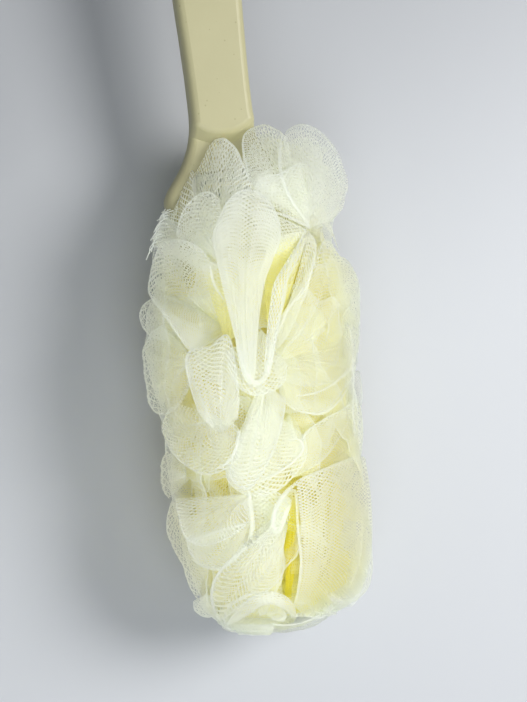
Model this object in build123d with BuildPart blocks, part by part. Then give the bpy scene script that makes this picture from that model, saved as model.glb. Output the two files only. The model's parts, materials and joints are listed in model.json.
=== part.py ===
from build123d import *
import math
import os

# ---------------------------------------------------------------- dimensions, mm
# Frame of the part: X across the handle, Y along it (the tip at +Y, the free
# end of the net at -Y), Z up. The part lies on its back with Z = 0 under the net.

total_length = 405.0
tip_y = total_length / 2            # end of the grip
puff_end_y = -total_length / 2      # free end of the net
puff_top_y = -7.5                   # where the net starts at the neck

# grip and neck
grip_half_width = 13.4              # widest, in the hand
neck_half_width = 11.9              # narrowest, just above the shoulders
shoulder_half_width = 25.4
shoulder_y = -35.0                  # widest point of the shoulders
neck_top_z = 50.4                   # upper face at the neck
edge_radius = 3.0
head_under_z = 37.0                 # underside of the head
shoulder_top_z = 45.2               # upper face of the shoulders, below the crease
crease_y = -14.6                    # lowest point of the curved step, at its foot
crease_radius = 21.5
hang_hole_radius = 3.5
hang_hole_y = tip_y - 13.0
hole_chamfer = 0.7
head_blank_end_y = -43.0            # where the shoulders give way to the frame

# frame inside the net
frame_thickness = 6.0
frame_top_z = head_under_z + frame_thickness
frame_mid_z = head_under_z + frame_thickness / 2
rail_half_width_top = 22.0
rail_half_width_end = 19.0
frame_end_y = -191.0
window_pitch = 42.0
first_window_y = -41.0
window_length = 33.0
window_half_width = 14.8
crossbar_thickness = 3.2

# net bundles: one for each window
bundle_count = 4
bundle_gap = 0.6
puff_height = 80.0
puff_edge_radius = 13.0
tunnel_half_width = 26.6            # room for the frame through the net
tunnel_low_z = 35.4
tunnel_high_z = 44.6
waist_x = 20.0
waist_y = 21.0
waist_corner = 5.0

# tie cords
cord_radius = 1.0
cord_clearance = 0.1
knot_radius = 2.1

os.makedirs("parts", exist_ok=True)

window_ys = [first_window_y - i * window_pitch for i in range(bundle_count)]

# ------------------------------------------------------- frame inside the net
# The frame is moulded in one with the handle: it is shaped here and joined below.
with BuildPart() as frame_blank:
    with BuildSketch(Plane.XY.offset(head_under_z)) as frame_view:
        with BuildLine():
            Polyline(
                (rail_half_width_top, head_blank_end_y + 6.0),
                (rail_half_width_end, frame_end_y),
                (-rail_half_width_end, frame_end_y),
                (-rail_half_width_top, head_blank_end_y + 6.0),
                close=True,
            )
        make_face()
    extrude(amount=frame_thickness)
    fillet(frame_blank.edges().filter_by(Axis.Z).group_by(Axis.Y)[0], radius=13.0)
    rims = [
        e
        for e in frame_blank.edges()
        if e.center().Y < head_blank_end_y - 10.0
        and (
            abs(e.center().Z - head_under_z) < 0.01
            or abs(e.center().Z - frame_top_z) < 0.01
        )
    ]
    fillet(rims, radius=1.4)

# ------------------------------------------------------------------------ handle
# Half of the outline seen from above, from the tip to the shoulder.
outline_right = [
    (grip_half_width - 0.5, tip_y - 12.9),
    (grip_half_width, 150.0),
    (grip_half_width, 100.0),
    (13.0, 45.0),
    (neck_half_width + 0.1, 12.0),
    (neck_half_width, 1.0),
    (12.4, -8.3),
    (17.2, -21.3),
    (21.7, -27.5),
    (24.8, -32.2),
    (shoulder_half_width, shoulder_y),
    (24.6, -38.6),
    (rail_half_width_top + 0.6, head_blank_end_y),
]

with BuildPart() as handle:
    # side view of the grip, neck and shoulders, wider than the widest outline
    with BuildSketch(Plane.YZ.offset(-30.0)) as side_view:
        with BuildLine():
            upper = Spline(
                (tip_y, 61.2),
                (165.0, 62.4),
                (120.0, 61.0),
                (70.0, 57.2),
                (25.0, 52.8),
                (0.0, neck_top_z + 0.3),
                (-20.0, neck_top_z - 1.2),
                (head_blank_end_y, neck_top_z - 2.6),
            )
            lower = Spline(
                (head_blank_end_y, head_under_z),
                (-20.0, head_under_z + 0.6),
                (0.0, 40.2),
                (25.0, 42.9),
                (70.0, 47.6),
                (120.0, 51.7),
                (165.0, 53.6),
                (tip_y, 53.0),
            )
            Line(upper @ 1, lower @ 0)
            Line(lower @ 1, upper @ 0)
        make_face()
    extrude(amount=60.0)
    # trimmed to the outline seen from above
    with BuildSketch(Plane.XY) as top_view:
        with BuildLine():
            right_side = Spline(*outline_right)
            left_side = Spline(*[(-x, y) for x, y in outline_right])
            ThreePointArc(right_side @ 0, (0, tip_y), left_side @ 0)
            Line(right_side @ 1, left_side @ 1)
        make_face()
    extrude(amount=100.0, mode=Mode.INTERSECT)
    # curved step down from the grip to the shoulders
    with BuildSketch(Plane.XY.offset(shoulder_top_z)) as below_crease:
        with BuildLine():
            half_angle = math.degrees(math.asin(19.0 / crease_radius))
            crease = CenterArc(
                (0, crease_y + crease_radius),
                crease_radius,
                270 - half_angle,
                2 * half_angle,
            )
            Polyline(
                crease @ 1,
                (45.0, (crease @ 1).Y),
                (45.0, -80.0),
                (-45.0, -80.0),
                (-45.0, (crease @ 0).Y),
                crease @ 0,
            )
        make_face()
    extrude(amount=12.0, taper=-38, mode=Mode.SUBTRACT)
    # softened edges: all but the end hidden in the net and the foot of the step
    foot = handle.edges().filter_by(GeomType.CIRCLE)
    upright = handle.edges().filter_by(Axis.Z)
    soft = [
        e
        for e in handle.edges()
        if e not in foot
        and e not in upright
        and abs(e.center().Y - head_blank_end_y) > 0.01
    ]
    fillet(soft, radius=edge_radius)
    # hole to hang the handle by
    with BuildSketch(Plane.XY.offset(45.0)) as hole_place:
        with Locations((0, hang_hole_y)):
            Circle(hang_hole_radius)
    extrude(amount=30.0, mode=Mode.SUBTRACT)
    mouths = [
        e
        for e in handle.edges()
        if 20.0 < e.length < 24.0
        and abs(e.bounding_box().center().X) < 0.3
        and abs(e.bounding_box().center().Y - hang_hole_y) < 0.3
    ]
    chamfer(mouths, length=hole_chamfer)
    add(frame_blank.part)
    # one window for each net bundle
    with BuildSketch(Plane.XY.offset(30.0)) as windows:
        with Locations(*[(0, y) for y in window_ys]):
            RectangleRounded(2 * window_half_width, window_length, 5.0)
    extrude(amount=30.0, mode=Mode.SUBTRACT)
    # the crossbars are thinner than the rails, so that the cords lie below the rails
    bar = window_pitch - window_length
    with BuildSketch(Plane.XY.offset(frame_mid_z + crossbar_thickness / 2)) as over:
        with Locations(*[(0, y - window_pitch / 2) for y in window_ys[:-1]]):
            Rectangle(2 * window_half_width - 8.0, bar + 2.0)
        with Locations((0, (window_ys[-1] - window_length / 2 + frame_end_y) / 2)):
            Rectangle(5.0, bar + 4.0)
    extrude(amount=6.0, mode=Mode.SUBTRACT)
    with BuildSketch(Plane.XY.offset(frame_mid_z - crossbar_thickness / 2)) as under:
        with Locations(*[(0, y - window_pitch / 2) for y in window_ys[:-1]]):
            Rectangle(2 * window_half_width - 8.0, bar + 2.0)
        with Locations((0, (window_ys[-1] - window_length / 2 + frame_end_y) / 2)):
            Rectangle(5.0, bar + 4.0)
    extrude(amount=-6.0, mode=Mode.SUBTRACT)

handle.part.label = "handle"
export_step(handle.part, "parts/handle.step")

# ------------------------------------------------------------------- net bundles
# Each bundle is a gathered nylon net drawn through its window: a cushion on each
# face of the frame, joined round the rails, with a waist that the cord binds.
# (left edge, right edge) across the handle, for each bundle from the neck down
bundle_sides = [(-28.0, 42.0), (-42.0, 42.5), (-40.0, 41.0), (-42.5, 38.5)]
bundle_breaks = [puff_top_y, -61.7, -104.0, -146.0, puff_end_y]

for i in range(bundle_count):
    left_x, right_x = bundle_sides[i]
    high_y = bundle_breaks[i] - (bundle_gap / 2 if i else 0.0)
    low_y = bundle_breaks[i + 1] + (bundle_gap / 2 if i < bundle_count - 1 else 0.0)
    name = f"net_bundle_{i + 1}"
    with BuildPart() as bundle:
        with BuildSketch(Plane.XY) as cushion_view:
            with Locations(((left_x + right_x) / 2, (high_y + low_y) / 2)):
                RectangleRounded(right_x - left_x, high_y - low_y, 16.0)
        extrude(amount=puff_height)
        ends = bundle.edges().filter_by(
            lambda e: abs(e.center().Z) < 0.01 or abs(e.center().Z - puff_height) < 0.01
        )
        fillet(ends, radius=puff_edge_radius)
        # tunnel for the frame and the neck
        with BuildSketch(Plane.XY.offset(tunnel_low_z)) as tunnel_view:
            tunnel_top = high_y + 5.0 if i else -16.0
            tunnel_bottom = low_y - 5.0 if i < bundle_count - 1 else frame_end_y - 4.0
            with Locations((0, (tunnel_top + tunnel_bottom) / 2)):
                Rectangle(2 * tunnel_half_width, tunnel_top - tunnel_bottom)
        extrude(
            amount=(tunnel_high_z if i else shoulder_top_z + 1.0) - tunnel_low_z,
            mode=Mode.SUBTRACT,
        )
        if i == 0:
            with BuildSketch(Plane.XY.offset(tunnel_low_z)) as neck_view:
                with Locations((0, -8.0)):
                    Rectangle(34.0, 20.0)
            extrude(amount=neck_top_z + 1.4 - tunnel_low_z, mode=Mode.SUBTRACT)
        # waist through the window
        with BuildSketch(Plane.XY.offset(tunnel_low_z - 2.0)) as waist_view:
            with Locations((0, window_ys[i])):
                RectangleRounded(waist_x, waist_y, waist_corner)
        extrude(amount=shoulder_top_z + 3.0 - tunnel_low_z + 2.0)
    bundle.part.label = name
    export_step(bundle.part, f"parts/{name}.step")

# --------------------------------------------------------------------- tie cords
# Each cord goes once round the waist of a bundle and once round the crossbar
# below it, and is knotted at the side of the waist.
reach = cord_clearance + cord_radius

for i in range(bundle_count):
    y = window_ys[i]
    near_y = y - waist_y / 2 - reach
    if i < bundle_count - 1:
        far_y = y - window_pitch / 2 - bar / 2 - reach
    else:
        far_y = frame_end_y - reach
    half_x = waist_x / 2 + reach
    half_y = waist_y / 2 + reach
    half_z = crossbar_thickness / 2 + reach
    name = f"tie_cord_{i + 1}"
    with BuildPart() as cord:
        with BuildLine(Plane.XY.offset(frame_mid_z)) as waist_path:
            FilletPolyline(
                (-half_x, y - half_y),
                (half_x, y - half_y),
                (half_x, y + half_y),
                (-half_x, y + half_y),
                radius=waist_corner + reach,
                close=True,
            )
        with BuildSketch(
            Plane(waist_path.line @ 0, z_dir=waist_path.line % 0)
        ) as waist_section:
            Circle(cord_radius)
        sweep(path=waist_path.line)
        with BuildLine(Plane.YZ) as bar_path:
            FilletPolyline(
                (near_y, frame_mid_z - half_z),
                (near_y, frame_mid_z + half_z),
                (far_y, frame_mid_z + half_z),
                (far_y, frame_mid_z - half_z),
                radius=1.3,
                close=True,
            )
        with BuildSketch(
            Plane(bar_path.line @ 0, z_dir=bar_path.line % 0)
        ) as bar_section:
            Circle(cord_radius)
        sweep(path=bar_path.line)
        with Locations((waist_x / 2 + cord_clearance + knot_radius, y, frame_mid_z)):
            Sphere(knot_radius)
    cord.part.label = name
    print(name, "volume", round(cord.part.volume, 2))
    export_step(cord.part, f"parts/{name}.step")
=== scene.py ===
"""Loofah back scrubber: the moulded handle from the CAD frame, and the gathered nylon net as four bundles of petals."""

import json
import math

import bpy
import numpy as np
from mathutils import Matrix, Vector

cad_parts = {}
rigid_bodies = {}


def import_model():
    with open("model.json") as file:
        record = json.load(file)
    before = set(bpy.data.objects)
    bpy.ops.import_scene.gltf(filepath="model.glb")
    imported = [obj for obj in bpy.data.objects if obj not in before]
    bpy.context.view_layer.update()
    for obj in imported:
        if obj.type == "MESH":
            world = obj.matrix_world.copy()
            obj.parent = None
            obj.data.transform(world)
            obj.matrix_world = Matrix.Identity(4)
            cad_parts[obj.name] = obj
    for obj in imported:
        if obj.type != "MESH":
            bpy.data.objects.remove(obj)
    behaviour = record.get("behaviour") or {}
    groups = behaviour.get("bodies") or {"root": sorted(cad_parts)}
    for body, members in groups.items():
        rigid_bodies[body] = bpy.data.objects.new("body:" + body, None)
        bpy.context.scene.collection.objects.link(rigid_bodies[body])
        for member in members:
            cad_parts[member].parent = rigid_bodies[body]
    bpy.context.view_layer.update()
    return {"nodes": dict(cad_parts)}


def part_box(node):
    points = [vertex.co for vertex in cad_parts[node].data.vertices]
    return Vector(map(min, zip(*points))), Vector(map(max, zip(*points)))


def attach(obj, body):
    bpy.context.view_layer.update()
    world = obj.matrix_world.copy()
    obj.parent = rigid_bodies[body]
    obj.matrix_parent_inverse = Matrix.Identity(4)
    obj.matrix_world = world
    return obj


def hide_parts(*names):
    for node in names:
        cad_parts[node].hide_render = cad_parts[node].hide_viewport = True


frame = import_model()
MM = 0.001
# where the net lies, and how thick it is, in mm, from the four bundles of the frame
net_boxes = [np.array([list(corner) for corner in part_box(f"net_bundle_{b + 1}")], float) / MM for b in range(4)]
NET_LOW = np.round(np.min([c[0] for c in net_boxes], axis=0), 3)
NET_HIGH = np.round(np.max([c[1] for c in net_boxes], axis=0), 3)
MID_Z = float(NET_LOW[2] + NET_HIGH[2]) / 2
HALF_Z = float(NET_HIGH[2] - NET_LOW[2]) / 2

# ------------------------------------------------------------------ main view
VIEW_W, VIEW_H = 527, 702
SIDE_TILT = math.radians(13.0)      # the camera stands to the left of straight above
FALL_TILT = math.radians(0.0)       # and towards the free end
ROLL = math.radians(7.93)           # the handle leans to the left in the picture
DISTANCE = 620.0
SCALE = 2.62                        # picture units per mm at the target
TARGET = np.array([round(float(NET_LOW[0] + NET_HIGH[0]) / 2 + 5.0, 3), round(float(NET_LOW[1]) + 108.1, 3), MID_Z])

back = np.array([-math.sin(SIDE_TILT) * math.cos(FALL_TILT), -math.sin(FALL_TILT), math.cos(SIDE_TILT) * math.cos(FALL_TILT)])
up0 = np.array([0.0, 1.0, 0.0])
up0 = up0 - back * up0.dot(back)
up0 /= np.linalg.norm(up0)
right0 = np.cross(up0, back)
cam_right = math.cos(ROLL) * right0 - math.sin(ROLL) * up0
cam_up = math.sin(ROLL) * right0 + math.cos(ROLL) * up0
cam_at = TARGET + back * DISTANCE
FOCAL = SCALE * DISTANCE


def on_plane(px, py, z):
    """The point at height z, in mm, seen at that place of the 527 by 702 picture."""
    ray = cam_right * (px - VIEW_W / 2) - cam_up * (py - VIEW_H / 2) - back * FOCAL
    t = (z - cam_at[2]) / ray[2]
    return cam_at + ray * t


cam_data = bpy.data.cameras.new("main_camera")
camera = bpy.data.objects.new("main_camera", cam_data)
bpy.context.scene.collection.objects.link(camera)
cam_data.sensor_fit = "HORIZONTAL"
cam_data.sensor_width = 36.0
cam_data.lens = FOCAL * 36.0 / VIEW_W
cam_data.clip_start = 0.01
cam_data.clip_end = 10.0
m = Matrix.Identity(4)
for i in range(3):
    m[i][0], m[i][1], m[i][2], m[i][3] = cam_right[i], cam_up[i], back[i], cam_at[i] * MM
camera.matrix_world = m
bpy.context.scene.camera = camera

# ------------------------------------------------- outer shape of the net, mm
# height in the picture: left edge, right edge of the net, and its thickness
SHAPE = np.array([
    [118, 224, 296, 0.20],
    [127, 222, 315, 0.34],
    [139, 214, 327, 0.48],
    [147, 207, 333, 0.56],
    [159, 197, 338, 0.66],
    [181, 186, 342, 0.79],
    [195, 177, 342, 0.86],
    [207, 168, 339, 0.90],
    [223, 160, 336, 0.95],
    [247, 153, 342, 0.98],
    [270, 150, 354, 1.00],
    [300, 147, 359, 1.00],
    [315, 141, 359, 1.00],
    [330, 143, 358, 1.00],
    [360, 145, 357, 1.00],
    [390, 148, 359, 1.00],
    [412, 156, 360, 0.99],
    [430, 162, 361, 0.99],
    [455, 163, 364, 0.99],
    [490, 165, 367, 0.99],
    [525, 168, 370, 0.98],
    [560, 177, 372, 0.94],
    [590, 189, 368, 0.86],
    [615, 203, 350, 0.70],
    [630, 218, 325, 0.50],
    [640, 232, 300, 0.25],
])


def shape_at(py):
    return [np.interp(py, SHAPE[:, 0], SHAPE[:, k]) for k in (1, 2, 3)]


def at(px, py, f=1.0):
    """A point seen at that place of the picture, f of the way from the middle plane to the net's outer surface."""
    low, high, full = shape_at(py)
    s = np.clip((px - (low + high) / 2) / ((high - low) / 2), -1, 1)
    z = MID_Z + f * HALF_Z * full * math.sqrt(max(0.0, 1 - abs(s) ** 2.4))
    return on_plane(px, py, z)


def to_picture(p):
    """Where points in mm are seen in the picture."""
    d = p - cam_at
    depth = -(d @ back)
    return VIEW_W / 2 + FOCAL * (d @ cam_right) / depth, VIEW_H / 2 - FOCAL * (d @ cam_up) / depth


# --------------------------------------------------------------- mesh building
def path(points, n):
    """n points evenly spaced on a smooth curve through the given ones."""
    p = np.asarray(points, float)
    if len(p) == 1:
        return np.repeat(p, n, 0)
    if len(p) == 2:
        return p[0] + (p[1] - p[0]) * np.linspace(0, 1, n)[:, None]
    ends = np.vstack([2 * p[0] - p[1], p, 2 * p[-1] - p[-2]])
    out = []
    for i in range(1, len(ends) - 2):
        p0, p1, p2, p3 = ends[i - 1 : i + 3]
        t = np.linspace(0, 1, 16, endpoint=False)[:, None]
        out.append(
            0.5
            * (
                2 * p1
                + (p2 - p0) * t
                + (2 * p0 - 5 * p1 + 4 * p2 - p3) * t**2
                + (3 * p1 - p0 - 3 * p2 + p3) * t**3
            )
        )
    out = np.vstack(out + [p[-1:]])
    s = np.r_[0, np.cumsum(np.linalg.norm(np.diff(out, axis=0), axis=1))]
    want = np.linspace(0, s[-1], n)
    return np.stack([np.interp(want, s, out[:, k]) for k in range(3)], 1)


class Net:
    """Gathers the petals of one bundle."""

    def __init__(self):
        self.co, self.faces, self.net, self.tone, self.count = [], [], [], [], 0
        self.area = 0.0
        # how strong the painted shade yellow is in this bundle, and out to where it reaches
        self.depth = 1.0
        self.painted_shade_reach = 0.92

    def grid(self, p, net, tone):
        """p: rows x columns x 3 points in mm. net: the net's own coordinates and how wide a strand is beside its gap.
        tone: painted shade by depth, painted light at the edge, and how white the net is kept, partly a whiter net and
        partly painted light.
        """
        rows, cols = p.shape[:2]
        self.co.append(p.reshape(-1, 3))
        self.net.append(net.reshape(-1, 3))
        self.tone.append(tone.reshape(-1, 3))
        i = np.arange(rows * cols).reshape(rows, cols) + self.count
        f = np.stack([i[:-1, :-1], i[1:, :-1], i[1:, 1:], i[:-1, 1:]], -1).reshape(-1, 4)
        self.faces.append(f)
        self.count += rows * cols
        a = p[1:, :-1] - p[:-1, :-1]
        b = p[:-1, 1:] - p[:-1, :-1]
        self.area += float(np.linalg.norm(np.cross(a, b), axis=-1).sum())

    def make(self, name, material):
        co = np.vstack(self.co) * MM
        faces = np.vstack(self.faces)
        mesh = bpy.data.meshes.new(name)
        mesh.vertices.add(len(co))
        mesh.vertices.foreach_set("co", co.astype(np.float32).ravel())
        mesh.loops.add(faces.size)
        mesh.loops.foreach_set("vertex_index", faces.astype(np.int32).ravel())
        mesh.polygons.add(len(faces))
        mesh.polygons.foreach_set("loop_start", np.arange(0, faces.size, 4, dtype=np.int32))
        mesh.polygons.foreach_set("use_smooth", np.ones(len(faces), bool))
        mesh.update(calc_edges=True)
        mesh.validate()
        for key, values in (("net", self.net), ("tone", self.tone)):
            a = mesh.attributes.new(key, "FLOAT_VECTOR", "POINT")
            a.data.foreach_set("vector", np.vstack(values).astype(np.float32).ravel())
        o = bpy.data.objects.new(name, mesh)
        bpy.context.scene.collection.objects.link(o)
        mesh.materials.append(material)
        return o


WAVES = np.random.default_rng(5)
WAVE_K = WAVES.normal(size=(14, 3)) * np.geomspace(0.06, 0.5, 14)[:, None]
WAVE_P = WAVES.uniform(0, 6.28, (3, 14))
WAVE_A = 1 / np.geomspace(1, 3.2, 14)


def crumple(p, size=1.0):
    """A smooth random displacement at points in mm."""
    ph = (p / size) @ WAVE_K.T
    return np.stack([(np.sin(ph + WAVE_P[k]) * WAVE_A).sum(-1) for k in range(3)], -1) / WAVE_A.sum()


def outwardness(p):
    """How near to the net's outer surface a point is: 1 on it, 0 on the axis."""
    px, py = to_picture(np.stack([p[..., 0], p[..., 1], np.full(p.shape[:-1], MID_Z)], -1))
    low, high, full = (np.interp(py, SHAPE[:, 0], SHAPE[:, k]) for k in (1, 2, 3))
    s = (px - (low + high) / 2) / ((high - low) / 2)
    h = (p[..., 2] - MID_Z) / (HALF_Z * np.maximum(full, 0.3))
    return np.sqrt(s**2 + h**2)


def finish_grid(rec, p, u_flat, v_flat, pitch, strand=0.27, edge=None, white=0.0, seed=0, across=False):
    """Adds a grid of the net, with the width of its strands worked out from how far the grid spreads them.
    The rows of its mesh run from root to rim, or across the petal."""
    du = np.linalg.norm(np.gradient(p, axis=1), axis=-1) / np.maximum(np.abs(np.gradient(u_flat, axis=1)), 1e-6)
    spacing = pitch[0] * du
    duty = np.clip(strand / np.maximum(spacing, 0.05), 0.10, 0.36)
    wob = crumple(p + seed * 7.3, 0.7)
    if across:
        duty = np.clip(strand / pitch[0] * np.maximum(du, 0.1) ** -0.55, 0.12, 0.40)
        net = np.stack([v_flat / pitch[0] + wob[..., 0] * 0.8, u_flat / pitch[1] + wob[..., 1] * 0.4, duty], -1)
    else:
        net = np.stack([u_flat / pitch[0] + wob[..., 0] * 0.8, v_flat / pitch[1] + wob[..., 1] * 0.4, duty], -1)
    # painted shade: the deeper inside the puff, the more yellow the net is painted; towards the free end it counts as
    # outside and stays light
    near_end = np.clip((-150 - p[..., 1]) / 44, 0, 1)
    painted_shade_depth = np.clip((rec.painted_shade_reach - np.maximum(outwardness(p), near_end)) / 0.45, 0, 1) * rec.depth
    # the edge value paints light along the fold at the rim; the white value is partly a whiter net and partly painted
    # light
    if edge is None:
        edge = np.zeros(p.shape[:2])
    tone = np.stack([painted_shade_depth, edge, np.full(p.shape[:2], white)], -1)
    rec.grid(p, net, tone)


def normals(mid, sign_ref):
    n = np.cross(np.gradient(mid, axis=1), np.gradient(mid, axis=0))
    mean = n.mean((0, 1))
    if mean @ sign_ref < 0:
        n, mean = -n, -mean
    n /= np.maximum(np.linalg.norm(n, axis=-1, keepdims=True), 1e-9)
    mean /= max(np.linalg.norm(mean), 1e-9)
    n = n * 0.45 + mean * 0.55
    return n / np.maximum(np.linalg.norm(n, axis=-1, keepdims=True), 1e-9)


def roll(rec, points, radii, flat=0.7, pitch=(0.8, 2.6), white=0.35, seed=0, strand=0.34, up=(0, 0, 1), rough=0.5, sides=18, step=0.9):
    """A rolled fold of the net: a soft tube along points, with radii given along it."""
    length = np.linalg.norm(np.diff(path(points, 60), axis=0), axis=1).sum()
    ny, nt = int(max(12, length / step)), sides
    c = path(points, ny)
    r = np.interp(np.linspace(0, 1, ny), np.linspace(0, 1, len(radii)), radii)
    t = np.gradient(c, axis=0)
    t /= np.linalg.norm(t, axis=1, keepdims=True)
    side = np.cross(t, np.asarray(up, float))
    side /= np.maximum(np.linalg.norm(side, axis=1, keepdims=True), 1e-6)
    high = np.cross(side, t)
    a = np.linspace(0, 2 * math.pi, nt)
    p = c[:, None] + side[:, None] * (np.cos(a)[None] * r[:, None])[..., None] + high[:, None] * (np.sin(a)[None] * r[:, None] * flat)[..., None]
    p = p + crumple(p + seed * 5, 0.8) * rough
    uf = np.broadcast_to((a * 2.0)[None], (ny, nt))
    vf = np.broadcast_to(np.linspace(0, length, ny)[:, None], (ny, nt))
    # painted light: a rolled fold is painted partway white over the painted shade yellow
    finish_grid(rec, p, uf, vf, pitch, strand, np.full((ny, nt), 0.35), white, seed)


def petal(rec, root, rim, mid=None, front=4.0, back=3.0, camber=0.0, pleat=0.5, pleats=7, ruffle=0.0,
          pitch=(1.05, 3.0), gather=1.0, sides=True, white=0.0, seed=0, nv=26, up=(0, 0, 1), strand=0.30,
          layers=2, across=True, rim_line=0.34):
    """A petal of doubled net: two layers from the root out to the fold at the rim. root and rim are lists of points in mm."""
    rng = np.random.default_rng(seed + 11)
    length = np.linalg.norm(np.diff(path(rim, 40), axis=0), axis=1).sum()
    nu = int(np.clip(length / 0.8, 36, 150))
    a, b = path(root, nu), path(rim, nu)
    v = 1 - (1 - np.linspace(0, 1, nv)) ** 1.7
    u = np.linspace(0, 1, nu)
    vv = v[:, None, None]
    if mid is None:
        mid = a[None] + (b - a)[None] * vv
    else:
        c = path(mid, nu) * 2 - (a + b) / 2
        mid = a[None] * (1 - vv) ** 2 + c[None] * 2 * vv * (1 - vv) + b[None] * vv**2
    n = normals(mid, np.asarray(up, float))
    reach = np.linalg.norm(b - a, axis=1).mean()
    swell_v = np.sin(np.minimum(1, v / 0.4) * math.pi / 2) * np.sqrt(np.clip(1 - v**3.2, 0, 1))
    swell_u = np.sqrt(np.clip(1 - np.abs(2 * u - 1) ** 3.5, 0, 1)) if sides else np.ones(nu)
    waves = np.zeros(nu)
    for k in range(2, 2 + pleats):
        waves += rng.uniform(0.4, 1) * np.sin(2 * math.pi * k * u * rng.uniform(0.8, 1.2) + rng.uniform(0, 6.28)) / k**0.5
    waves /= 2.2
    fine = np.zeros(nu)
    for k in (13, 19, 26):
        if k * 4.5 < nu:
            fine += rng.uniform(0.5, 1) * np.sin(2 * math.pi * k * u + rng.uniform(0, 6.28) + 1.5 * waves)
    ruf = np.sin(2 * math.pi * u * rng.uniform(1.2, 2.2) + rng.uniform(0, 6.28)) * ruffle
    fold = (waves[None] * pleat * (np.sin(v * math.pi * 0.85) ** 0.8)[:, None]) + ruf[None] * (v**2)[:, None]
    fold = fold + fine[None] * (0.24 * np.sin(math.pi * np.clip(v, 0, 0.9) / 0.9) ** 0.7 * (1 - 0.6 * v))[:, None]
    base = mid + n * (fold + camber * (4 * v * (1 - v))[:, None])[..., None]
    swell = swell_v[:, None] * swell_u[None]
    flat_w = length * gather
    uf = np.broadcast_to((u * flat_w)[None], (nv, nu))
    vf = np.broadcast_to((v * reach)[:, None], (nv, nu))
    # painted light: the rim of the petal, where the net folds, is painted white over the painted shade yellow
    edge = np.broadcast_to((v**8)[:, None], (nv, nu))
    top = base + n * (front * swell)[..., None] + crumple(base, 1.2) * (0.8 * swell)[..., None]
    finish_grid(rec, top, uf, vf, pitch, strand, edge, white, seed, across)
    if layers > 1:
        under = base - n * (back * swell)[..., None] + crumple(base + 31, 1.2) * (0.8 * swell)[..., None]
        finish_grid(rec, under[::-1], uf[::-1], (2 * reach - vf)[::-1], pitch, strand, edge[::-1], white, seed, across)
    if rim_line:
        keep = slice(int(nu * 0.04), int(nu * 0.96))
        pts = base[-1][keep][:: max(1, nu // 40)]
        size = rim_line * np.array([0.5, 1, 1, 1, 0.5])
        # painted light: the fold along the rim is painted at least half way to white
        roll(rec, pts, size, flat=1.0, pitch=(0.7, 2.0), white=max(white, 0.55), seed=seed, strand=0.36, rough=0.1, sides=8)
    return base


# ------------------------------------------------------------------- materials
def node(nt, kind, **values):
    n = nt.nodes.new(kind)
    for key, value in values.items():
        if key in n.inputs:
            n.inputs[key].default_value = value
        else:
            setattr(n, key, value)
    return n


def maths(nt, op, a, b=None, clamp=False):
    n = nt.nodes.new("ShaderNodeMath")
    n.operation = op
    n.use_clamp = clamp
    for i, x in enumerate((a, b)):
        if x is None:
            continue
        if isinstance(x, (int, float)):
            n.inputs[i].default_value = x
        else:
            nt.links.new(x, n.inputs[i])
    return n.outputs[0]


def blend_colour(nt, fac, a, b):
    n = nt.nodes.new("ShaderNodeMix")
    n.data_type = "RGBA"
    n.clamp_factor = True
    for key, x in (("Factor", fac), ("A", a), ("B", b)):
        s = [i for i in n.inputs if i.name == key and i.type == ("VALUE" if key == "Factor" else "RGBA")][0]
        if isinstance(x, (int, float, tuple)):
            s.default_value = x
        else:
            nt.links.new(x, s)
    return [o for o in n.outputs if o.type == "RGBA"][0]


def linear(r, g, b):
    """A colour given as it looks, 0 to 255, as the shader wants it."""
    f = lambda c: c / 12.92 if c <= 0.04045 else ((c + 0.055) / 1.055) ** 2.4
    return (f(r / 255), f(g / 255), f(b / 255), 1.0)


def net_material():
    mat = bpy.data.materials.new("net_nylon")
    mat.use_nodes = True
    nt = mat.node_tree
    nt.nodes.clear()
    out = node(nt, "ShaderNodeOutputMaterial")
    net = node(nt, "ShaderNodeAttribute", attribute_name="net")
    tone = node(nt, "ShaderNodeAttribute", attribute_name="tone")
    split = node(nt, "ShaderNodeSeparateXYZ")
    nt.links.new(net.outputs["Vector"], split.inputs[0])
    shade = node(nt, "ShaderNodeSeparateXYZ")
    nt.links.new(tone.outputs["Vector"], shade.inputs[0])
    u, v, duty = split.outputs
    dist = []
    for op in ("ADD", "SUBTRACT"):
        line = maths(nt, "FRACT", maths(nt, op, u, v))
        dist.append(maths(nt, "ABSOLUTE", maths(nt, "SUBTRACT", line, 0.5)))
    near = maths(nt, "MINIMUM", dist[0], dist[1])
    half = maths(nt, "MULTIPLY", duty, 0.5)
    alpha = maths(nt, "LESS_THAN", near, half)
    # painted shade: the net is painted from cream to yellow the deeper inside the puff it lies, standing in for light
    # that reaches there through many layers
    cream = linear(250, 252, 246)
    painted_shade_yellow = linear(251, 244, 112)
    white = linear(251, 253, 251)
    colour = blend_colour(nt, shade.outputs[0], cream, painted_shade_yellow)
    # painted light: the fold along each rim is painted white over the painted shade yellow; then each petal's own
    # white, partly a whiter net and partly painted light
    colour = blend_colour(nt, shade.outputs[1], colour, white)
    colour = blend_colour(nt, shade.outputs[2], colour, white)
    face = node(nt, "ShaderNodeBsdfPrincipled", Roughness=0.5)
    face.inputs["Specular IOR Level"].default_value = 0.35
    nt.links.new(colour, face.inputs["Base Color"])
    glow = node(nt, "ShaderNodeBsdfTranslucent")
    nt.links.new(colour, glow.inputs["Color"])
    both = node(nt, "ShaderNodeMixShader", Fac=0.72)
    nt.links.new(face.outputs[0], both.inputs[1])
    nt.links.new(glow.outputs[0], both.inputs[2])
    clear = node(nt, "ShaderNodeBsdfTransparent")
    mix = node(nt, "ShaderNodeMixShader")
    nt.links.new(alpha, mix.inputs["Fac"])
    nt.links.new(clear.outputs[0], mix.inputs[1])
    nt.links.new(both.outputs[0], mix.inputs[2])
    nt.links.new(mix.outputs[0], out.inputs["Surface"])
    return mat


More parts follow.
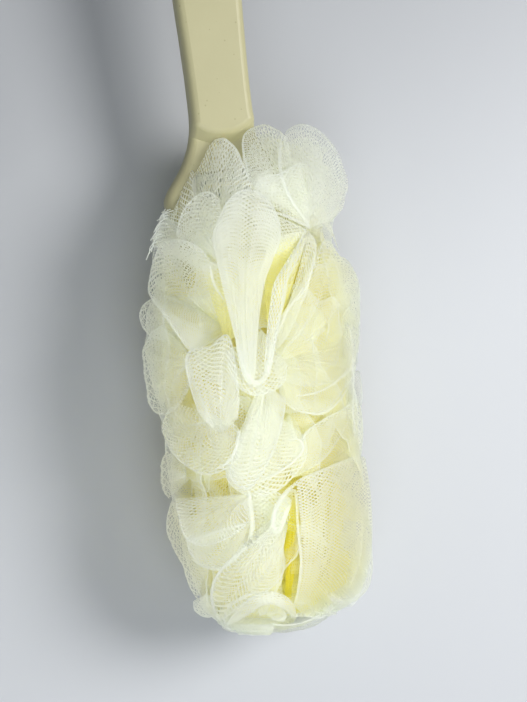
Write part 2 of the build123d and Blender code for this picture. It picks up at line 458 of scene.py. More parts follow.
def plastic_material():
    mat = bpy.data.materials.new("handle_plastic")
    mat.use_nodes = True
    nt = mat.node_tree
    b = nt.nodes["Principled BSDF"]
    co = node(nt, "ShaderNodeTexCoord")
    mottle = node(nt, "ShaderNodeTexNoise", Scale=60.0, Detail=3.0)
    specks = node(nt, "ShaderNodeTexVoronoi", Scale=420.0)
    size = node(nt, "ShaderNodeTexNoise", Scale=230.0, Detail=1.0)
    for t in (mottle, specks, size):
        nt.links.new(co.outputs["Object"], t.inputs["Vector"])
    base = blend_colour(nt, mottle.outputs["Fac"], linear(176, 172, 134), linear(184, 180, 143))
    here = maths(nt, "LESS_THAN", specks.outputs["Distance"], 0.14)
    often = maths(nt, "GREATER_THAN", size.outputs["Fac"], 0.60)
    dot = maths(nt, "MULTIPLY", maths(nt, "MULTIPLY", here, often), 0.30)
    nt.links.new(blend_colour(nt, dot, base, linear(120, 110, 74)), b.inputs["Base Color"])
    b.inputs["Roughness"].default_value = 0.42
    b.inputs["Specular IOR Level"].default_value = 0.4
    b.inputs["Subsurface Weight"].default_value = 0.0
    grain = node(nt, "ShaderNodeTexNoise", Scale=900.0, Detail=2.0)
    nt.links.new(co.outputs["Object"], grain.inputs["Vector"])
    bump = node(nt, "ShaderNodeBump", Strength=0.06, Distance=0.0004)
    nt.links.new(grain.outputs["Fac"], bump.inputs["Height"])
    nt.links.new(bump.outputs["Normal"], b.inputs["Normal"])
    return mat


def cord_material():
    mat = bpy.data.materials.new("cord_nylon")
    mat.use_nodes = True
    nt = mat.node_tree
    b = nt.nodes["Principled BSDF"]
    co = node(nt, "ShaderNodeTexCoord")
    twist = node(nt, "ShaderNodeTexWave", Scale=300.0)
    nt.links.new(co.outputs["Object"], twist.inputs["Vector"])
    nt.links.new(blend_colour(nt, twist.outputs["Fac"], linear(220, 214, 180), linear(244, 241, 222)), b.inputs["Base Color"])
    b.inputs["Roughness"].default_value = 0.6
    return mat


net_mat, handle_mat, cord_mat = net_material(), plastic_material(), cord_material()
for name, mat in [("handle", handle_mat)] + [(f"tie_cord_{i}", cord_mat) for i in (1, 2, 3, 4)]:
    o = frame["nodes"][name]
    o.data.materials.clear()
    o.data.materials.append(mat)

# ------------------------------------------------------------------- the net
bundles = [Net() for _ in range(4)]
# the open net at the shoulder gets a fifth of the painted shade yellow
bundles[0].depth = 0.2
AXIS = np.array([2.0, 0.0, MID_Z])
BREAKS = [-7.5, -61.7, -104.0, -146.0, -202.5]


def limit(p, most=0.97):
    """Presses points down to the net's outer surface, to its two ends, and to the table under it."""
    p = p.copy()
    y = p[..., 1]
    y = np.where(y < -188, -188 - 12 * np.tanh((-188 - y) / 16.0), y)
    p[..., 1] = np.where(y > -18, -18 + 9 * np.tanh((y + 18) / 10.0), y)
    r = outwardness(p)
    soft = 0.12
    start = most - soft
    new = np.where(r > start, start + soft * np.tanh((r - start) / soft / 1.6), r)
    k = np.where(r > 1e-6, new / np.maximum(r, 1e-6), 1.0)
    c = np.stack([np.full(p.shape[:-1], 0.0), p[..., 1], np.full(p.shape[:-1], MID_Z)], -1)
    # centre of the outline at that place along the handle
    px, py = to_picture(np.stack([p[..., 0], p[..., 1], np.full(p.shape[:-1], MID_Z)], -1))
    low, high = (np.interp(py, SHAPE[:, 0], SHAPE[:, j]) for j in (1, 2))
    c[..., 0] = p[..., 0] - (px - (low + high) / 2) / SCALE * math.cos(ROLL)
    q = c + (p - c) * k[..., None]
    z = q[..., 2]
    q[..., 2] = np.where(z < 6, 6 - 5.6 * np.tanh((6 - z) / 6.0), z)
    return q


def core(rec, y0, y1, seed):
    """The tightly gathered inside of a bundle, which fills it and hides the frame."""
    nt, ny = 150, 60
    t = np.linspace(0, 2 * math.pi, nt)
    w = np.linspace(0, 1, ny)
    y = y0 + (y1 - y0) * w
    r = 0.72 * np.sqrt(np.clip(1 - np.abs(2 * w - 1) ** 6, 0.02, 1))
    p = np.zeros((ny, nt, 3))
    px = np.zeros(ny)
    for i in range(ny):
        c = np.array([0.0, y[i], MID_Z])
        qx, qy = to_picture(c[None])
        low, high, full = shape_at(qy[0])
        cx = ((low + high) / 2 - qx[0]) / SCALE
        a = (high - low) / 2 / SCALE
        p[i, :, 0] = cx + a * r[i] * np.cos(t)
        p[i, :, 1] = y[i]
        p[i, :, 2] = MID_Z + HALF_Z * full * r[i] * np.sin(t)
    wave = crumple(p + seed * 17, 0.55)
    ridges = np.abs(np.sin(p[..., 1] * 0.35 + 3 * wave[..., 0] + seed)) * 2.5
    axis = np.stack([np.zeros(p.shape[:2]), p[..., 1], np.full(p.shape[:2], MID_Z)], -1)
    out = p - axis
    out /= np.maximum(np.linalg.norm(out, axis=-1, keepdims=True), 1e-6)
    p = p + out * (wave[..., 1:2] * 7 + ridges[..., None] - 2.0) + wave * 2.0
    p = limit(p, 0.95)
    uf = np.broadcast_to((t * 40)[None], (ny, nt))
    vf = np.broadcast_to(((y - y0))[:, None], (ny, nt))
    net = np.stack([uf / 1.0, vf / 2.6, np.full((ny, nt), 0.42)], -1)
    # painted shade: the gathered inside is painted yellow, more so the deeper in it lies
    painted_shade_depth = np.clip((1.04 - outwardness(p)) / 0.42, 0, 1) * 0.85
    rec.grid(p, net, np.stack([painted_shade_depth * rec.depth, 0 * painted_shade_depth, 0 * painted_shade_depth], -1))


def fan(rec, origin, out, bend, length, spread, turn, seed, width=1.0, front=2.6, back=2.6, ruffle=1.5, pitch=(1.3, 3.4), most=0.97,
        white=0.0):
    """A curled petal: it leaves its root along out and bends towards bend by turn, as a doubled fan of the given spread."""
    rng = np.random.default_rng(seed)
    nu, nv = 34, 17
    u = np.linspace(-1, 1, nu)
    v = 1 - (1 - np.linspace(0, 1, nv)) ** 1.6
    out = out / np.linalg.norm(out)
    bend = bend - out * (bend @ out)
    bend /= np.linalg.norm(bend)
    side = np.cross(out, bend)
    phi = u * spread
    lobes = 1 + 0.07 * np.sin(u * rng.uniform(3, 6) + rng.uniform(0, 6.28)) + 0.04 * np.sin(u * rng.uniform(7, 12) + rng.uniform(0, 6.28))
    s = v[:, None] * np.cos(phi * 0.8)[None] * length * lobes[None]
    lat = v[:, None] * np.sin(phi)[None] * length * width
    # the bent centre line as an integral of its direction
    ss = np.linspace(0, length * 1.2, 60)
    ang = turn * np.clip(ss / length, 0, 1.1) ** 1.3
    cx = np.r_[0, np.cumsum(np.cos(ang[:-1]) * np.diff(ss))]
    cy = np.r_[0, np.cumsum(np.sin(ang[:-1]) * np.diff(ss))]
    a, b = np.interp(s, ss, cx), np.interp(s, ss, cy)
    mid = origin + a[..., None] * out + b[..., None] * bend + lat[..., None] * side
    n = normals(mid, bend * -1 + out * 0.4)
    wave = np.zeros(nu)
    for k in (1.0, 1.7, 2.6, 4.1, 6.0, 8.3):
        wave += rng.uniform(0.4, 1) * np.sin(k * u * math.pi + rng.uniform(0, 6.28)) / k**0.7
    fold = wave[None] * ruffle * (v**1.2)[:, None]
    swell = (np.sin(np.minimum(1, v / 0.4) * math.pi / 2) * np.sqrt(np.clip(1 - v**3.2, 0, 1)))[:, None] * np.sqrt(
        np.clip(1 - np.abs(u) ** 4, 0, 1)
    )[None]
    base = mid + n * fold[..., None]
    flat_w = 2 * spread * length * width * 0.9
    uf = np.broadcast_to(((u + 1) / 2 * flat_w)[None], (nv, nu))
    vf = np.broadcast_to((v * length)[:, None], (nv, nu))
    # painted light: the rim of the fan, where the net folds, is painted white over the painted shade yellow
    edge = np.broadcast_to((v**8)[:, None], (nv, nu))
    for sign, thick, lay in ((1, front, 0), (-1, back, 1)):
        p = base + sign * n * (thick * swell)[..., None] + crumple(base + 31 * lay, 1.0) * (1.2 * swell)[..., None]
        p = limit(p, most)
        if lay:
            finish_grid(rec, p[::-1], uf[::-1], (2 * length - vf)[::-1], pitch, 0.27, edge[::-1], white, seed, seed % 3 > 0)
        else:
            finish_grid(rec, p, uf, vf, pitch, 0.27, edge, white, seed, seed % 3 > 0)
            if most > 0.79:
                # painted light: the rolled rim of the fan is painted mostly white
                roll(rec, p[-1, 2:-2], 0.3 * np.array([0.5, 1, 1, 1, 0.5]), flat=1.0, pitch=(0.7, 2.0), white=0.6, seed=seed, strand=0.36,
                     rough=0.1, sides=6, step=1.6)


rng = np.random.default_rng(42)
WINDOWS = [-41.0, -83.0, -125.0, -167.0]
for b in range(4):
    y0, y1 = BREAKS[b] + (4 if b else -4), BREAKS[b + 1] + (-4 if b < 3 else 4)
    core(bundles[b], y0 if b else -37.0, y1, b)
    yc = (BREAKS[b] + BREAKS[b + 1]) / 2
    rows = 3
    count = 15
    for row in range(rows):
        fy = (row + 0.5) / rows
        for k in range(count):
            th = (k + 0.5 * (row % 2) + rng.uniform(-0.3, 0.3)) / count * 2 * math.pi
            y = BREAKS[b] + (BREAKS[b + 1] - BREAKS[b]) * fy + rng.uniform(-3, 3)
            out = np.array([math.cos(th), (fy - 0.5) * 0.9 + rng.uniform(-0.2, 0.2), math.sin(th)])
            tang = np.array([-math.sin(th), 0.0, math.cos(th)])
            way = rng.uniform(0, 2 * math.pi)
            bend = tang * math.cos(way) + np.array([0, 1.0, 0]) * math.sin(way)
            r0 = 9.0
            origin = np.array([1.5 + r0 * math.cos(th), y - (fy - 0.5) * 8, MID_Z + r0 * math.sin(th)])
            front_side = math.sin(th) > 0.1
            tip = origin + out / np.linalg.norm(out) * 30
            tx, ty = to_picture(tip)
            if tip[2] > 38 and tx < 262 and ty < 262:
                continue
            if b == 0 and tip[2] > 38 and ty < 232:
                continue
            if tip[2] > 30 and tx > 330 and ty > 425:
                continue
            if tip[2] > 34 and tx > 272 and ty > 575:
                continue
            fan(bundles[b], origin, out, bend, rng.uniform(34, 42), rng.uniform(0.6, 0.95), rng.uniform(0.5, 1.5),
                seed=int(1000 * b + 100 * row + k), width=rng.uniform(0.8, 1.1), ruffle=rng.uniform(1.0, 2.6),
                most=(0.84 if b else 0.66) if front_side else (0.98 if math.sin(th) < -0.4 else 0.925), pitch=(rng.uniform(1.0, 1.3), rng.uniform(2.8, 3.6)))


def loose_strand(rec, points, r=0.2):
    """One cut strand of the net, solid all through."""
    c = path(points, 14)
    t = np.gradient(c, axis=0)
    t /= np.linalg.norm(t, axis=1, keepdims=True)
    side = np.cross(t, [0.0, 0.0, 1.0])
    side /= np.maximum(np.linalg.norm(side, axis=1, keepdims=True), 1e-6)
    high = np.cross(side, t)
    a = np.linspace(0, 2 * math.pi, 7)
    p = c[:, None] + r * (side[:, None] * np.cos(a)[None, :, None] + high[:, None] * np.sin(a)[None, :, None])
    full = np.ones(p.shape[:2])
    rec.grid(p, np.stack([0 * full, 0 * full, 3 * full], -1), np.stack([0 * full, 0 * full, 0.7 * full], -1))


def cut_edge():
    """The cut side of the open net at the shoulder: strands left hanging, in a row of ragged loops."""
    rng = np.random.default_rng(77)
    line = path([at(171, 203, .86), at(166, 214, .84), at(161, 226, .8), at(157, 238, .74), at(154, 246, .7)], 15)
    for i in range(15):
        p0 = line[i]
        away = on_plane(*(np.array(to_picture(p0)) + rng.uniform([-6, 3], [-2, 8])), p0[2] - 1.0)
        far = on_plane(*(np.array(to_picture(p0)) + rng.uniform([-11, 7], [-5, 15])), p0[2] - 2.5)
        inner = on_plane(*(np.array(to_picture(p0)) + rng.uniform([3, -4], [8, 2])), p0[2] + 0.6)
        loose_strand(bundles[0], [inner, p0, away, far], 0.19)


def hero(b, root, rim, mid=None, **k):
    place = lambda pts: None if pts is None else [at(*q) for q in pts]
    return petal(bundles[b], place(root), place(rim), place(mid), seed=len(bundles[b].co) + 100 * b, **k)


def hero_roll(b, pts, radii, **k):
    roll(bundles[b], [at(*q) for q in pts], radii, seed=len(bundles[b].co), **k)


def front_petals():
    """The petals on the side that is looked at, from the neck to the free end."""
    # each petal's white is how far it is kept white over the painted shade yellow, partly a whiter net and partly
    # painted light
    # row 1: two open lobes above, one open net over the shoulder
    hero(0, [(304, 220, .62)],
         [(262, 200, .8), (250, 180, .8), (247, 160, .74), (254, 143, .66), (268, 138, .5), (284, 146, .5), (298, 138, .4), (314, 140, .35),
          (320, 152, .35), (323, 172, .35), (322, 190, .4), (316, 208, .5)], front=4, back=4, white=.7, pleat=1.6, pitch=(2.1, 3.4), strand=.34, rim_line=.25)
    hero(0, [(308, 228, .72)], [(252, 188, .86), (258, 178, .84), (268, 170, .8), (285, 163, .74), (300, 163, .7), (314, 176, .7)],
         pitch=(1.9, 3.2), strand=.34, front=3, pleat=1.8)
    hero(0, [(306, 222, .80), (285, 208, .86), (260, 194, .90)],
         [(288, 142, .80), (281.8, 133.4, .66), (273, 128, .56), (262, 126, .56), (253, 128, .66), (245, 134, .82), (242.5, 145, .90), (246, 165, .98), (250, 185, .98)],
         pitch=(1.4, 3.2), strand=.32, front=4.5, back=4, white=.6, pleat=1.2, across=False)
    hero(0, [(309, 227, .88)],
         [(284, 136, .78), (290.7, 128, .62), (301.4, 125, .5), (313.9, 129, .45), (326.4, 138, .45), (335.4, 150.4, .45), (339.8, 164.6, .45),
          (342.5, 180.7, .45), (340.7, 196.8, .45), (335.4, 211, .5), (326.4, 221.8, .6), (317, 229, .75)],
         front=6, back=6, pitch=(1.3, 3.2), strand=.30, white=.7, pleat=1.5, across=False)
    hero(0, [(213, 276, .72)],
         [(153, 245, .5), (160.4, 223.6, .62), (167.5, 207.5, .7), (176.4, 195, .78), (187, 180.7, .85), (196, 161, .88), (206.8, 147.5, .9), (221, 138.8, .95),
          (230, 143.2, .98), (238.9, 155.7, 1.0), (246, 171.8, 1.0), (252, 187.9, 1.0)],
         front=4, back=2, pitch=(1.9, 3.2), strand=.58, white=.9, pleat=2.2, pleats=9, ruffle=.2, across=False, rim_line=.45)
    hero(0, [(222, 262, .8)], [(176, 236, .8), (182, 214, .86), (194, 198, .9), (208, 192, .93), (220, 200, .95)], front=3, back=2, pitch=(1.5, 3.0),
         strand=.26, white=.35)
    hero_roll(0, [(282, 134, .74), (280, 152, .86), (281, 172, .93), (289, 196, .96), (300, 213, .97), (309, 227, .96)], [.3, .5, .6, .6, .5, .4], white=.8, rough=.15)
    hero_roll(0, [(258, 208, .97), (270, 211, 1.0), (283, 215, 1.0), (297, 221, 1.0), (310, 228, .98)], [.3, .5, .6, .6, .4], white=.8, rough=.15)
    hero(0, [(309, 228, .94)], [(254, 196, .95), (257, 184, .96), (266, 176, .96), (279, 174, .94), (291, 167, .92), (301, 162, .9)], front=2.5, back=2, pitch=(1.5, 3.2),
         strand=.34, white=.5)
    # row 2: the broad fold that ends in a U, the dome beside it, the fan on the other side
    # painted shade: these petals lie in the slots between folds and get the painted yellow much further out than the
    # rest, standing in for the shade there
    bundles[1].painted_shade_reach = 1.12
    hero(1, [(268, 330, .88), (276, 326, .88)],
         [(262, 256, .90), (268, 244, .92), (278, 238, .94), (292, 233, .95), (304, 232, .95), (303, 248, .95), (294, 272, .95), (284, 296, .93)],
         front=1.5, back=2, strand=.5, pleat=1.0, rim_line=0)
    hero(1, [(226, 344, .82)], [(202, 268, .86), (212, 262, .90), (224, 270, .92), (236, 292, .92), (240, 314, .92), (236, 336, .9)],
         front=1.5, back=2, strand=.5, pleat=1.0, rim_line=0)
    bundles[1].painted_shade_reach = 0.84
    # painted shade: this petal lies in a slot near the free end and gets the painted yellow much further out than the
    # rest
    bundles[3].painted_shade_reach = 1.5
    hero(3, [(292, 606, .80), (284, 604, .80)], [(278, 500, .86), (286, 492, .88), (296, 490, .90), (300, 510, .88)], front=1.5, back=2, strand=.5, pleat=1.0, rim_line=0)
    bundles[3].painted_shade_reach = 0.84
    hero(1, [(268, 262, .90), (274, 258, .90)],
         [(250, 214, .92), (262, 212, .94), (278, 217, .96), (296, 225, .97), (309, 231, .98)],
         front=2, back=2, pitch=(1.5, 3.0), strand=.36, pleat=1.3, rim_line=.25)
    hero(1, [(262, 330, .92)],
         [(226, 352, .93), (230, 372, .97), (240, 388, 1.0), (254, 395, 1.01), (270, 392, 1.01), (284, 382, 1.0), (288, 366, .98)],
         front=3, back=2, pitch=(1.4, 3.0), strand=.36, pleat=1.2, rim_line=.25)
    hero(2, [(262, 402, .9)],
         [(236, 448, .9), (226, 470, .92), (232, 486, .94), (252, 496, .96), (274, 492, .97), (292, 478, .96), (306, 458, .95), (306, 436, .94)],
         front=3, back=2, pitch=(1.4, 3.0), strand=.36, pleat=1.2, rim_line=.25)
    hero(3, [(262, 560, .80)],
         [(244, 506, .90), (256, 492, .92), (272, 490, .92), (286, 500, .9), (290, 520, .86)],
         front=2.5, back=2, pitch=(1.4, 3.0), strand=.36, pleat=1.0, rim_line=.25)
    hero(1, [(226, 328, .66)],
         [(212, 262, .92), (196, 246, .92), (178, 240, .88), (163, 243, .74), (155, 258, .55), (150, 275, .45), (148.8, 290, .45), (153, 300, .6),
          (165.7, 317, .86), (180, 338, .97), (190, 349, .97), (206, 345, .92)], front=6, back=3, pitch=(1.35, 2.8), strand=.33, pleat=1.1)
    hero(1, [(182, 322, .5)], [(155, 297, .45), (145, 304, .3), (140.5, 313, .25), (141, 322, .25), (146, 331, .3), (155, 338, .45), (170, 340, .6)],
         front=3, back=3, pitch=(1.3, 3.0), strand=.24, white=.4)
    hero(1, [(276, 350, .9)], [(309, 232, .98), (316, 244, 1.0), (312, 268, 1.02), (304, 291, 1.02), (291, 306, 1.0), (281, 322, .98)], front=3, back=2)
    hero(1, [(277, 356, .86), (274, 368, .88)],
         [(300, 292, .98), (316, 262, 1.0), (325, 240, .95), (334, 250, .85), (345, 262, .7), (354, 275, .5), (358.5, 300, .42), (358, 330, .42),
          (355, 352, .5), (348, 372, .66), (332, 382, .82), (310, 386, .92), (286, 382, .95)], front=7, back=3, pitch=(1.3, 3.0), pleat=1.7, pleats=9)
    hero(1, [(332, 304, .7)], [(334, 256, .75), (345, 259, .5), (353, 270, .38), (358, 285, .3), (359.5, 308, .3), (358, 332, .35)], front=3, back=2,
         pitch=(1.3, 3.0), strand=.24, white=.3)
    hero(1, [(243, 368, 1.03), (247, 379, 1.04), (253, 381, 1.04), (256, 366, 1.03)],
         [(212, 240, .98), (215, 228, .99), (221, 214, 1.0), (229, 200, 1.0), (238, 192, 1.0), (248, 190, 1.01), (259, 193, 1.02), (269, 201, 1.02), (276, 213, 1.02), (280, 228, 1.02), (279, 243, 1.02), (272, 260, 1.02)],
         [(227, 306, 1.03), (238, 303, 1.05), (250, 302, 1.05), (261, 304, 1.03)], front=4, back=3, white=.55, pitch=(1.0, 2.8), strand=.33)
    hero(1, [(264, 372, 1.04), (266, 340, 1.04), (270, 305, 1.03), (274, 283, 1.03), (286, 262, 1.02), (301, 238, 1.0)],
         [(269, 374, 1.08), (275, 345, 1.08), (282, 304, 1.06), (286, 283, 1.05), (296, 262, 1.03), (310, 231, 1.0)], front=3.2, back=2, white=.45, strand=.34)
    hero_roll(1, [(236, 335, 1.05), (240, 355, 1.06), (244, 370, 1.06), (249, 380, 1.06), (256, 383.5, 1.06), (263, 380, 1.06), (268, 369, 1.05), (272, 352, 1.05), (276, 332, 1.05)],
              [.3, .7, 1.0, 1.15, 1.2, 1.15, 1.0, .8, .3], white=.6)
    for pts in ([(304, 233, 1.01), (297, 249, 1.03), (288, 272, 1.03), (284, 300, 1.03), (276, 330, 1.03)],
                [(301, 292, 1.05), (292, 303, 1.05), (285, 316, 1.05), (278, 333, 1.04)],
                [(344, 286, .86), (350, 281, .74), (354, 279, .6)],
                [(296, 396, 1.03), (318, 392, 1.02), (338, 380, .92), (350, 366, .76)],
                [(210, 266, 1.0), (214, 284, 1.0), (224, 300, .98)]):
        hero_roll(1, pts, [.25, .42, .45, .42, .25], white=.6, rough=.15)
    # row 3: thumb, coarse fan, centre petals
    hero(1, [(190, 362, .8)], [(162, 324, .62), (149, 336, .42), (144.5, 350, .32), (144.5, 365, .3), (146, 380, .3), (148, 393, .32), (151.4, 405, .4),
                               (157, 413, .5), (170, 412, .7), (182, 400, .88)], front=4, back=4, pitch=(1.5, 3.0), strand=.27, pleat=1.2)
    hero(2, [(277, 377, .88)], [(280, 400, .9), (300, 411.5, .98), (321, 413, .99), (335, 401, .88), (347, 384, .68), (355, 370, .48), (356, 356, .45)],
         front=4, back=3)
    hero(2, [(292, 478, .84)], [(297, 450, .95), (308, 431, 1.0), (326, 418.5, .99), (344, 409, .84), (356, 399, .55), (361, 415, .4), (362, 440, .4), (361, 458, .45)],
         front=5, back=3)
    # filler petals deep in the hollows, painted yellow there as painted shade
    hero(2, [(246, 446, .66)], [(222, 414, .72), (228, 402, .78), (240, 396, .80), (254, 400, .80), (262, 414, .78), (260, 432, .74)],
         front=1.5, back=2, strand=.5, pleat=1.0, rim_line=0)
    hero(2, [(296, 456, .68)], [(280, 424, .74), (288, 408, .78), (304, 400, .80), (320, 402, .76), (332, 414, .68), (334, 432, .62), (326, 446, .6)],
         front=1.5, back=2, strand=.5, pleat=1.0, rim_line=0)
    hero(2, [(288, 412, .78)], [(286, 440, .9), (296, 439, .97), (303, 444, .99), (300, 455, .99), (288, 466, .98), (272, 477, .97), (258, 484, .96)],
         front=3, back=2, pitch=(1.3, 3.0))
    hero(2, [(258, 386, .92), (270, 388, .92)],
         [(240, 440, .96), (232, 462, .98), (230, 474, 1.0), (237, 485, 1.02), (248, 489, 1.02), (259, 478, 1.03), (269, 460, 1.03), (278, 438, 1.02), (284, 414, .99), (286, 398, .96)],
         front=5, back=3)
    hero(2, [(222, 420, .92)],
         [(178, 403, .82), (167, 412, .66), (163, 429, .55), (167.5, 441.4, .6), (174.6, 454, .7), (187, 466.4, .84), (205, 474.5, .96), (223, 470, 1.0), (237, 459, 1.02),
          (242.5, 445, 1.02), (239, 432, 1.02), (231, 422, 1.02)], front=6, back=4, pitch=(1.7, 3.2), strand=.3, white=.2, pleat=1.2)
    hero(2, [(216, 432, .92), (226, 430, .92)],
         [(198, 412, .98), (190, 385, 1.0), (186, 365, 1.0), (187, 355, 1.0), (193, 349, 1.0), (203, 348, 1.0), (212, 346, 1.0), (219, 339, 1.0), (227, 335, 1.0),
          (233, 350, 1.02), (237, 379, 1.02), (239, 400, 1.02), (238, 418, 1.0)], front=6, back=4, white=.15)
    # row 4: fan with the straight top, sweeping band, barrel and its curled neighbour
    hero(3, [(272, 562, .66)], [(252, 505, .86), (262, 493, .86), (273, 495, .82), (283, 508, .8), (288, 530, .8)], front=2, back=2, pitch=(1.5, 2.8), strand=.28)
    hero(3, [(186, 476, .6)], [(167, 450, .5), (162.5, 462, .38), (162, 475, .35), (164, 490, .38), (169, 499, .5)], front=3, back=3, pitch=(1.3, 3), strand=.22, white=.2)
    hero(3, [(218, 540, .66)], [(172, 500, .5), (167.5, 517, .35), (167.5, 531, .35), (171, 541, .38), (176, 552, .4), (184, 567, .45), (189, 584, .5), (197, 600, .5)],
         front=4, back=3, pitch=(1.3, 3))
    hero(3, [(253, 520, .92)], [(186, 536, .86), (190, 552, .88), (200, 563, .9), (216, 568, .92), (232, 561, .95), (247, 545, .97)], front=4, back=3)
    hero(3, [(251, 494, .99)], [(175, 498.6, .84), (177, 508, .86), (180, 522, .88), (185, 536, .9), (198, 545, .94), (216, 543, .97), (236, 533, .99), (250, 520, 1.0)],
         front=5, back=3, pitch=(1.5, 3.2), strand=.34, white=.1, across=False, pleat=.9)
    hero(3, [(206, 594, .45)], [(193, 601, .35), (195, 610, .3), (204, 616, .25), (213, 616, .3), (218, 608, .4)], front=2.5, back=2.5, white=.2)
    hero(3, [(282, 512, .84), (288, 526, .84)],
         [(251, 541, .97), (237, 554, .98), (221, 569, .97), (213, 584, .92), (213, 602, .85), (219, 619, .7), (232, 613, .9), (248, 601, .95), (268, 590, .95), (281, 577, .93), (286, 560, .9)],
         [(266, 528, .98), (256, 538, 1.0), (250, 552, 1.0), (254, 562, 1.0), (268, 560, .98), (284, 546, .92)], front=4, back=3, pitch=(1.35, 3), pleat=1.1)
    hero(3, [(262, 599, .82)], [(226, 612, .66), (224, 622, .45), (231, 628, .35), (246, 632.5, .25), (262, 633.5, .25), (277, 631, .3), (290, 625, .4), (296, 616, .5), (291, 604, .75)],
         front=3, back=3, white=.5)
    hero_roll(3, [(228, 624, .62), (238, 616, .82), (248, 607, .92), (260, 600, .98), (272, 598, .99), (282, 601, .98), (290, 608, .88), (295, 617, .7)],
              [.6, 1.5, 2.2, 2.4, 2.4, 2.2, 1.6, .8], white=.8)
    hero_roll(3, [(226, 612, .72), (232, 604, .88), (242, 598, .95), (256, 592, .97)], [.4, .7, .7, .4], white=.7, rough=.15)
    hero(3, [(346, 602, .5)], [(366, 498, .35), (370, 530, .25), (372, 560, .2), (371.5, 575, .2), (367, 588, .3), (357, 601, .4)], front=2, back=2, white=.4, strand=.26)
    hero(3, [(293, 606, .86), (312, 618, .66), (336, 612, .62), (356, 600, .5)],
         [(295, 481, 1.02), (305, 477, 1.03), (323, 470, 1.0), (344, 461, .82), (358, 456.6, .6), (365, 458, .5)],
         [(300, 548, 1.04), (318, 552, 1.07), (340, 550, .98), (358, 546, .72), (371, 543, .36)], front=2.5, back=4, pitch=(1.2, 2.8), strand=.36, nv=44, pleat=.8, rim_line=.45)
    hero(3, [(292, 500, .9)], [(285, 494, 1.0), (276, 508, 1.01), (272.5, 522, 1.0), (275.5, 534, .98), (283, 524, .95)], front=1.2, back=1.2, white=.2, strand=.26)
    hero_roll(3, [(296, 483, 1.02), (286, 493, 1.03), (278, 505, 1.03), (273.5, 519, 1.02), (274.5, 531, 1.0), (279, 531, .98), (284, 520, .96), (291, 504, .95)],
              [.5, .8, .9, .9, .9, .8, .8, .5], white=.4)
    hero_roll(3, [(249, 492, 1.0), (251, 508, 1.0), (253, 525, .99), (249, 541, .98)], [.5, .9, .9, .5], white=.3)


for k in range(28):
    ring = k % 4
    th = k * 2.4
    lean = (0.12, 0.35, 0.65, 1.0)[ring]
    if math.sin(th) > 0.3 and lean > 0.2:
        continue
    out = np.array([math.cos(th) * lean, -1.0, math.sin(th) * lean])
    bend = np.array([-math.sin(th), rng.uniform(-0.2, 0.6), math.cos(th)]) if k % 2 else np.array([math.cos(th), 0.5, math.sin(th)])
    origin = np.array([1.0 + 14 * lean * math.cos(th), -167.0, MID_Z + 14 * lean * math.sin(th)])
    spread = 0.62 if abs(bend[2]) > 0.45 and lean < 0.5 else 1.0
    fan(bundles[3], origin, out, bend, rng.uniform(29, 36), spread * rng.uniform(0.8, 1.15), rng.uniform(0.5, 1.1), seed=5000 + k,
        width=rng.uniform(0.9, 1.2), ruffle=rng.uniform(1.0, 2.2), most=0.95 if math.sin(th) < 0.1 else 0.80, pitch=(rng.uniform(1.1, 1.4), 3.0))

# the petals that close the free end, seen from below and from the end
# the petals at the free end get the painted shade yellow only deep in
bundles[3].painted_shade_reach = 0.7
for k in range(11):
    th = math.pi * (0.93 + 1.14 * (k + 0.5) / 11)
    out = np.array([math.cos(th), -0.6 - 0.15 * (k % 2), math.sin(th)])
    bend = np.array([-0.15 * math.sin(th), 1.0, 0.15 * math.cos(th)])
    off = (15.0, 6.0, 11.0)[k % 3]
    origin = np.array([1.0 - off * math.cos(th), -185.0 + 1.5 * (k % 3), MID_Z - off * math.sin(th)])
    fan(bundles[3], origin, out, bend, 25 + 0.6 * off, 0.85, 0.8, seed=7000 + k, width=1.0, ruffle=1.4, most=0.93, pitch=(1.2, 3.0))

# two petals folded over the middle of the free end
petal(bundles[3], [(-8, -188, 14), (6, -188, 12)],
      [(-27, -184, 34), (-24, -190, 46), (-14, -194, 55), (0, -196, 59), (13, -193, 55), (20, -188, 44)],
      [(-16, -193, 25), (-13, -196, 31), (-6, -197, 36), (1, -197, 37), (7, -196, 34), (12, -193, 27)],
      front=1.6, back=1.4, up=(0, -1, 0), white=0.35, pleat=1.2, pitch=(1.3, 3.2), strand=0.36, seed=7101)
petal(bundles[3], [(22, -184, 20), (25, -183, 30)],
      [(6, -193, 11), (-5, -197, 20), (-9, -199, 33), (-4, -199, 45), (6, -197, 53), (18, -191, 56)],
      [(14, -193, 18), (9, -197, 24), (7, -198, 32), (9, -198, 39), (14, -196, 44), (20, -191, 44)],
      front=1.6, back=1.4, up=(0, -1, 0), white=0.45, pleat=1.0, pitch=(1.3, 3.2), strand=0.34, seed=7102)

# for the petals that follow, the painted shade yellow starts at 0.84 of the way out
for rec in bundles:
    rec.painted_shade_reach = 0.84
front_petals()
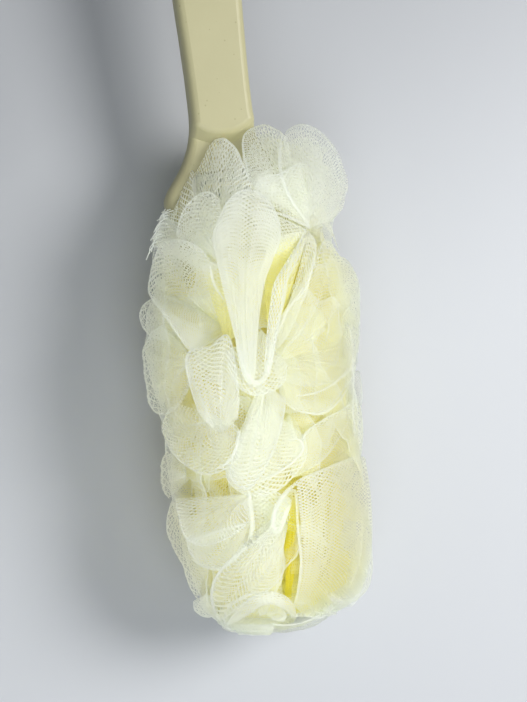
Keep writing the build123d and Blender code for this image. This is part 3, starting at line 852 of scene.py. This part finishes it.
# rolled folds over the front, painted mostly white as painted light
for b, pts in (
    (2, [(288, 440, 1.02), (300, 440, 1.03), (303, 450, 1.03), (294, 461, 1.03), (280, 471, 1.03), (258, 483, 1.02)]),
    (2, [(301, 412, 1.03), (322, 413.5, 1.02), (338, 402, .92), (348, 388, .76)]),
    (2, [(240, 430, 1.06), (236, 448, 1.06), (228, 462, 1.05), (214, 470, 1.04)]),
    (2, [(264, 392, 1.0), (258, 420, 1.03), (252, 450, 1.04), (248, 478, 1.04)]),
    (3, [(186, 541, .92), (202, 537, .98), (218, 531, 1.02), (246, 524, 1.04)]),
    (3, [(191, 559, .9), (205, 567, .95), (220, 569, .98), (234, 560, 1.0), (247, 545, 1.02)]),
    (3, [(219, 620, .76), (212, 602, .9), (213, 586, .96), (222, 569, 1.02), (240, 553, 1.03), (262, 540, 1.02)]),
    (3, [(362, 512, .62), (362, 540, .62), (358, 566, .66), (350, 588, .72)]),
    (3, [(296, 494, 1.03), (298, 530, 1.05), (301, 566, 1.05), (297, 600, .97)]),
):
    hero_roll(b, pts, [.25, .45, .5, .45, .25], white=.6, rough=.15)
cut_edge()

for b in range(4):
    name = f"net_{b + 1}"
    o = bundles[b].make(name, net_mat)
    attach(o, "root")
    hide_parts(f"net_bundle_{b + 1}")

# ------------------------------------------------------------- stage and light
floor_mesh = bpy.data.meshes.new("floor")
s = 20.0
floor_mesh.from_pydata([(-s, -s, 0), (s, -s, 0), (s, s, 0), (-s, s, 0)], [], [(0, 1, 2, 3)])
floor = bpy.data.objects.new("floor", floor_mesh)
bpy.context.scene.collection.objects.link(floor)
fm = bpy.data.materials.new("floor")
fm.use_nodes = True
fb = fm.node_tree.nodes["Principled BSDF"]
# painted shade: the floor's colour gets darker towards the grip and to the left, and a little lighter towards the free
# end, standing in for light that falls off there
place = node(fm.node_tree, "ShaderNodeTexCoord")
parts = node(fm.node_tree, "ShaderNodeSeparateXYZ")
fm.node_tree.links.new(place.outputs["Object"], parts.inputs[0])
along = maths(fm.node_tree, "SUBTRACT", parts.outputs[1], maths(fm.node_tree, "MULTIPLY", parts.outputs[0], 0.35))
painted_floor_shade = node(fm.node_tree, "ShaderNodeMapRange")
painted_floor_shade.interpolation_type = "SMOOTHSTEP"
for key, value in (("From Min", -0.15), ("From Max", 0.09), ("To Min", 1.06), ("To Max", 0.74)):
    painted_floor_shade.inputs[key].default_value = value
fm.node_tree.links.new(along, painted_floor_shade.inputs["Value"])
shade_it = node(fm.node_tree, "ShaderNodeVectorMath")
shade_it.operation = "SCALE"
shade_it.inputs[0].default_value = linear(199, 202, 207)[:3]
fm.node_tree.links.new(painted_floor_shade.outputs["Result"], shade_it.inputs["Scale"])
fm.node_tree.links.new(shade_it.outputs["Vector"], fb.inputs["Base Color"])
fb.inputs["Roughness"].default_value = 0.9
fb.inputs["Specular IOR Level"].default_value = 0.1
floor_mesh.materials.append(fm)


def area_light(name, place, aim, size, power, colour=(1, 1, 1)):
    data = bpy.data.lights.new(name, "AREA")
    data.shape = "DISK"
    data.size = size
    data.energy = power
    data.color = colour
    o = bpy.data.objects.new(name, data)
    bpy.context.scene.collection.objects.link(o)
    o.location = place
    o.rotation_euler = (Vector(aim) - Vector(place)).to_track_quat("-Z", "Y").to_euler()
    return o


area_light("key", (0.42, -0.05, 0.64), (0, -0.1, 0.03), 0.34, 4.5, (1.0, 0.985, 0.96))
area_light("fill", (-0.25, -0.75, 1.25), (0, -0.15, 0.0), 1.1, 8.4, (0.95, 0.98, 1.0))
soft = area_light("net_fill", (-0.62, -0.25, 0.72), (0, -0.1, 0.04), 0.9, 5.1, (1.0, 1.0, 1.0))
net_only = bpy.data.collections.new("net_only")
for b in range(4):
    net_only.objects.link(bpy.data.objects[f"net_{b + 1}"])
soft.light_linking.receiver_collection = net_only
world = bpy.data.worlds.new("world")
bpy.context.scene.world = world
world.use_nodes = True
bg = world.node_tree.nodes["Background"]
bg.inputs["Color"].default_value = (0.93, 0.96, 1.0, 1)
bg.inputs["Strength"].default_value = 0.21
scene = bpy.context.scene
scene.view_settings.view_transform = "Standard"
scene.cycles.transparent_max_bounces = 48
scene.cycles.max_bounces = 20
scene.cycles.diffuse_bounces = 20
scene.cycles.transmission_bounces = 20
